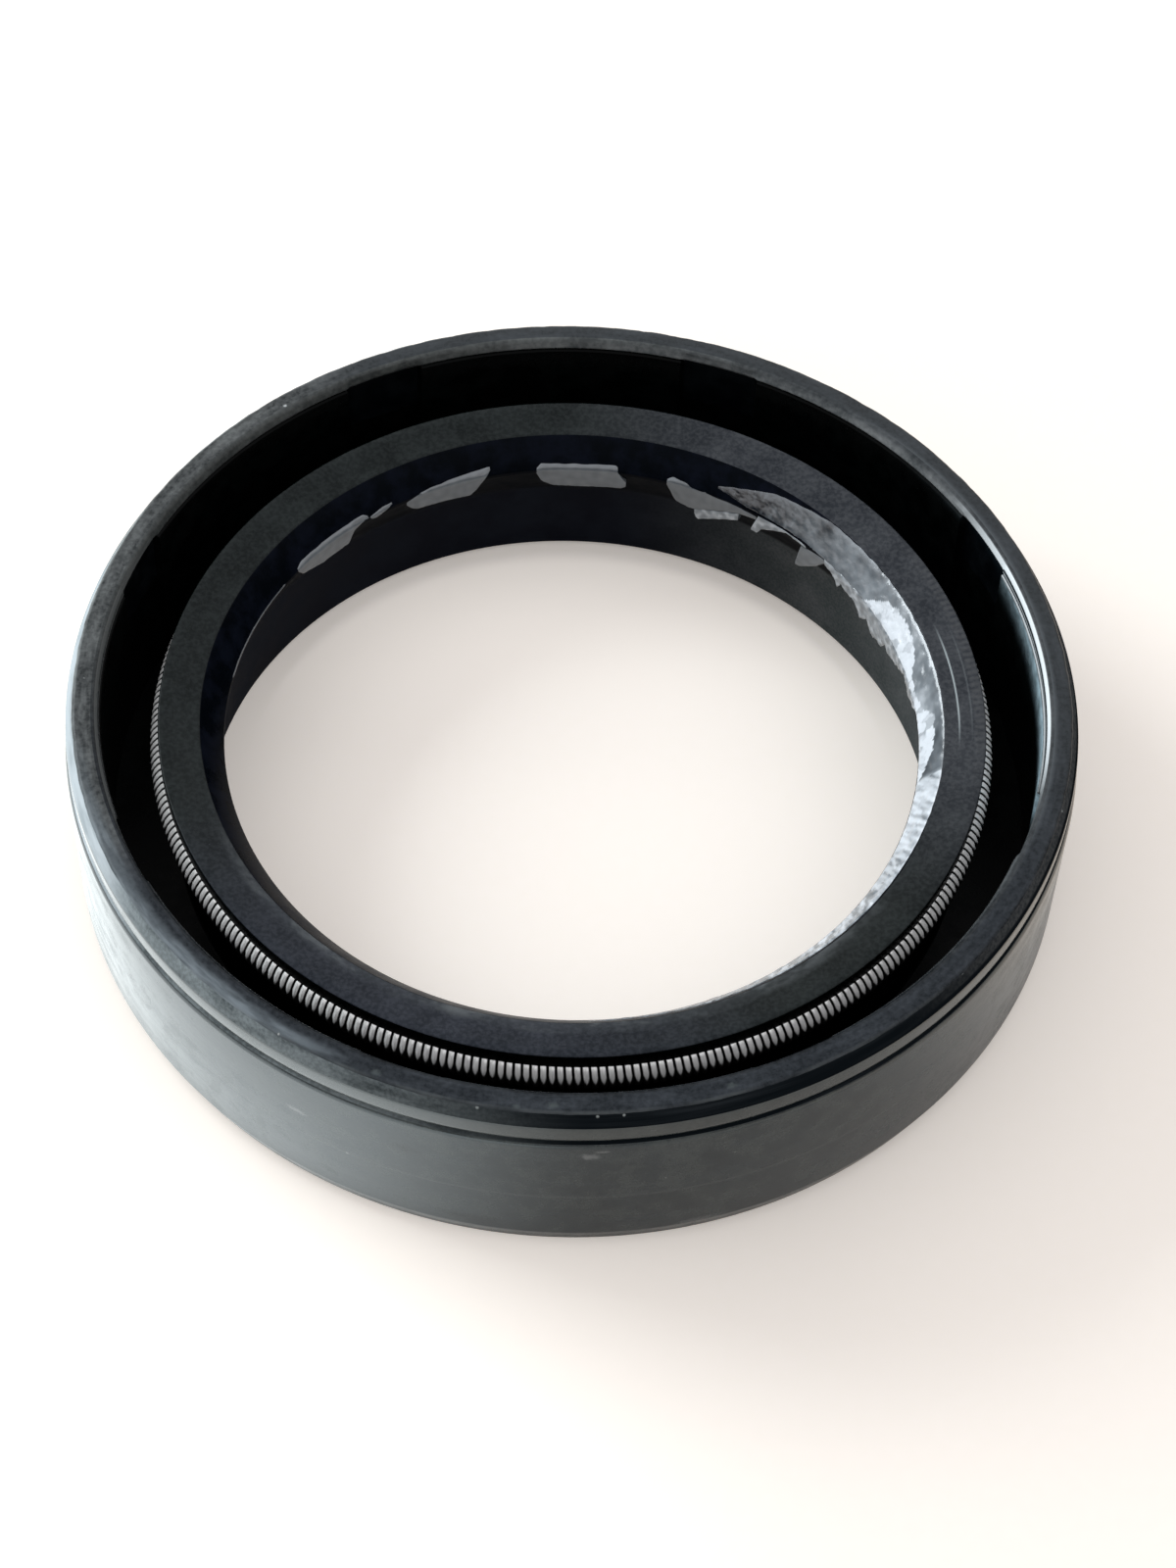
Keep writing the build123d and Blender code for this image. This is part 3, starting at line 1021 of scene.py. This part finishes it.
def bore_rubber():
    """The air-side cone and the base bore: dry, blue-black and nearly without gloss."""
    nodes = Material("bore_rubber", Specular_IOR_Level=0.05)
    place = nodes.group(PLACE)
    blots = nodes.mask(GRAIN, Scale=0.5, Low=0.35, High=0.7)
    fine = nodes.mask(GRAIN, Scale=8.0, Low=0.3, High=0.7)
    grain = nodes.blend(fine, 0.5, blots, 0.5)
    cone = nodes.rise(place["Height"], 4.2, 4.6)
    # Painted light on the right of the bore.
    lit = nodes.mask(BAND, Value=place["Angle"], From=0, To=40, Soft=45)
    colour = nodes.tint(blots, (0.002, 0.003, 0.007, 1), (0.006, 0.008, 0.013, 1))
    pale_painted_light = nodes.tint(grain, (0.035, 0.045, 0.047, 1), (0.090, 0.097, 0.10, 1))
    colour = nodes.tint(lit, colour, pale_painted_light)
    # The air-side cone, which faces down, is painted darker: painted shade.
    colour = nodes.tint(cone, colour, (0.0008, 0.0015, 0.003, 1))
    return nodes.finish(colour, nodes.plus(0.5, nodes.times(blots, 0.15)), fine)


def cavity_rubber():
    """The skins, the cavity's floor, the membrane and the groove: clean black, darkened further as
    painted shade.
    """
    # Much darker than the rubber outside: painted shade in the cavity.
    dark, light = (0.0004, 0.0006, 0.0006, 1), (0.0015, 0.002, 0.002, 1)
    # The last colour is painted window light on an oily film, on the wall at the right.
    return black_rubber("cavity_rubber", 0.03, dark, light, (0.46, 0.63, 0.71, 1))


def spring_wire():
    """Drawn steel wire: painted highlight on the crests, painted shade between the turns and below.
    """
    nodes = Material("drawn_wire", Metallic=0.2, Specular_IOR_Level=1.0)
    place = nodes.group(PLACE)
    out = nodes.add("ShaderNodeAttribute", attribute_name="crest").outputs["Fac"]
    up = nodes.minus(place["Height"], SPRING_Z)
    narrow = nodes.minus(nodes.times(nodes.rise(up, -0.02, 0.42), 0.24), 0.24)
    crest = nodes.rise(nodes.plus(out, narrow), 0.60, 0.80)
    # The lower side of the ring stays dark: painted shade.
    crest = nodes.times(crest, nodes.rise(up, -0.05, 0.2))
    grime = nodes.mask(GRAIN, Scale=2.5, Low=0.35, High=0.75)
    # Near white on the crests: painted highlight; near black elsewhere: painted shade.
    colour = nodes.tint(crest, (0.004, 0.004, 0.004, 1), (1.0, 1.0, 0.98, 1))
    colour = nodes.tint(grime, colour, (0.40, 0.38, 0.35, 1), 0.04)
    return nodes.finish(colour, nodes.plus(0.28, nodes.times(grime, 0.1)))


def grease(name):
    """Grease: nearly clear and dark where thin, milky where thick, white in its folds, partly
    painted highlight.
    """
    nodes = Material(name, Coat_Weight=0.5, Coat_Roughness=0.1)
    tone = nodes.add("ShaderNodeAttribute", attribute_name="tone").outputs["Fac"]
    fine = nodes.mask(GRAIN, Scale=7.0, Low=0.3, High=0.7)
    milky, white = (
        nodes.add("ShaderNodeMapRange", {"Value": tone, "From Min": low, "From Max": high})
        for low, high in ((0.0, 0.5), (0.5, 1.0))
    )
    colour = nodes.tint(milky.outputs[0], (0.010, 0.014, 0.020, 1), (0.22, 0.25, 0.275, 1))
    colour = nodes.tint(white.outputs[0], colour, (0.82, 0.88, 0.94, 1))
    return nodes.finish(colour, nodes.line(tone, 0.2, 0.15), fine, 0.004)


def bonded_steel():
    """The case's steel, dark with phosphate and bonding agent."""
    nodes = Material("bonded_steel", Specular_IOR_Level=0.06)
    blots = nodes.mask(GRAIN, Scale=0.9, Low=0.35, High=0.7)
    colour = nodes.tint(blots, (0.0006, 0.001, 0.0015, 1), (0.002, 0.003, 0.004, 1))
    # Painted window light on an oily film, on the wall at the right, as on the rubber.
    colour = nodes.tint(nodes.mask(OIL_AND_PAINTED_LIGHT), colour, (0.10, 0.20, 0.28, 1))
    return nodes.finish(colour, nodes.plus(0.35, nodes.times(blots, 0.15)))


def white_table():
    """A pale table top, a little brighter where it is seen directly or in a gloss.

    A gloss on the seal's outside sees the sunlit side of the table, towards the window.
    """
    nodes = Material("white_table", Roughness=0.9, Specular_IOR_Level=0.1)
    fibres = nodes.mask(GRAIN, Scale=1.5, Low=0.2, High=0.8)
    path = nodes.add("ShaderNodeLightPath").outputs
    where = nodes.millimetres()
    distance = nodes.length(where)
    x, y, _ = nodes.axes(where)
    towards = nodes.line(y, -0.1, nodes.times(x, -1.0))
    sunlit = nodes.times(nodes.rise(towards, 0.0, 18.0), nodes.rise(distance, 21.5, 23.5))
    right = nodes.times(nodes.rise(x, 16.0, 30.0), nodes.rise(distance, 22.0, 25.0))
    # In a gloss the table glows brighter towards the window and warm on the right: painted
    # reflection.
    gloss = nodes.times(path["Is Glossy Ray"], nodes.blend(sunlit, 2.0, right, 0.60))
    seen = nodes.math("MAXIMUM", path["Is Camera Ray"], path["Is Transmission Ray"])
    # Seen directly, painted light lifts the table on its open side and at the back of the hole.
    open_side = nodes.rise(towards, -10.0, 12.0)
    open_side = nodes.times(open_side, nodes.rise(distance, 17.0, 24.0))
    bore = (nodes.rise(y, 3.0, 14.0), nodes.rise(distance, 15.5, 16.5))
    bore = nodes.math("SUBTRACT", *bore, clamp=True)
    lift = nodes.times(seen, nodes.line(open_side, 0.16, nodes.line(bore, 0.12, 0.21)))
    mirrored = nodes.tint(right, (0.87, 0.97, 1.0, 1), (1.0, 0.80, 0.60, 1))
    glow = nodes.tint(seen, mirrored, (1.0, 0.94, 0.88, 1))
    nodes.plug(nodes.shader["Emission Color"], glow)
    nodes.plug(nodes.shader["Emission Strength"], nodes.plus(lift, gloss))
    colour = nodes.tint(fibres, (0.90, 0.84, 0.775, 1), (0.92, 0.86, 0.79, 1))
    nodes.plug(nodes.shader["Base Color"], colour)
    return nodes.material


# ---------------------------------------------------------------- table, light and camera
def make_floor():
    bpy.ops.mesh.primitive_plane_add(size=2.4, location=(0, 0, 0))
    floor = bpy.context.object
    floor.name = "table_top"
    floor.data.materials.append(white_table())


def add_window(azimuth, elevation, distance, width, power, colour):
    """A soft square light that stands off from the seal and faces it."""
    turn, rise = radians(azimuth), radians(elevation)
    place = Vector((cos(turn) * cos(rise), sin(turn) * cos(rise), sin(rise))) * distance
    bpy.ops.object.light_add(type="AREA", location=place)
    lamp = bpy.context.object
    lamp.name = "window"
    lamp.rotation_euler = (-place).to_track_quat("-Z", "Y").to_euler()
    lamp.data.shape = "RECTANGLE"
    lamp.data.size = lamp.data.size_y = width
    lamp.data.energy = power
    lamp.data.color = colour


def make_room():
    """A plain world, warm and dim at the horizon. A gloss also sees a pale ceiling in it."""
    world = bpy.data.worlds.new("room")
    bpy.context.scene.world = world
    world.use_nodes = True
    nodes = Nodes(world.node_tree)
    background = world.node_tree.nodes["Background"].inputs
    _, _, up = nodes.axes(nodes.add("ShaderNodeTexCoord").outputs["Generated"])
    height = nodes.rise(up, 0.0, 0.6)
    glossy = nodes.add("ShaderNodeLightPath").outputs["Is Glossy Ray"]
    ceiling = nodes.times(nodes.rise(up, 0.15, 0.5), glossy)
    plain = nodes.line(height, 0.72, 0.14)
    colour = nodes.tint(height, (1.0, 0.86, 0.72, 1), (0.97, 0.97, 1.0, 1))
    nodes.plug(background["Strength"], nodes.line(ceiling, 0.9, plain))
    nodes.plug(background["Color"], colour)


def make_camera():
    """The camera stands in front of the seal, looks down on it and leans a little."""
    stand_back, height = 96.016, 131.023
    turn, look_down, lean = 0.0085, 0.9281, 0.0446
    bpy.ops.object.camera_add()
    camera = bpy.context.object
    camera.data.sensor_fit = "VERTICAL"
    camera.data.sensor_height = 36
    camera.data.lens = 80.35
    camera.data.clip_start = 0.01
    camera.matrix_world = (
        Matrix.Translation((0, -stand_back * MM, height * MM))
        @ Matrix.Rotation(-turn, 4, "Z")
        @ Matrix.Rotation(pi / 2 - look_down, 4, "X")
        @ Matrix.Rotation(lean, 4, "Z")
    )
    bpy.context.scene.camera = camera


make_rubber()
make_spring()
make_grease()
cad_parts["steel_case"].data.materials.clear()
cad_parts["steel_case"].data.materials.append(bonded_steel())
make_floor()
add_window(150, 30, distance=0.40, width=0.20, power=1.05, colour=(0.88, 0.96, 1.0))
make_room()
make_camera()
bpy.context.scene.view_settings.view_transform = "Standard"
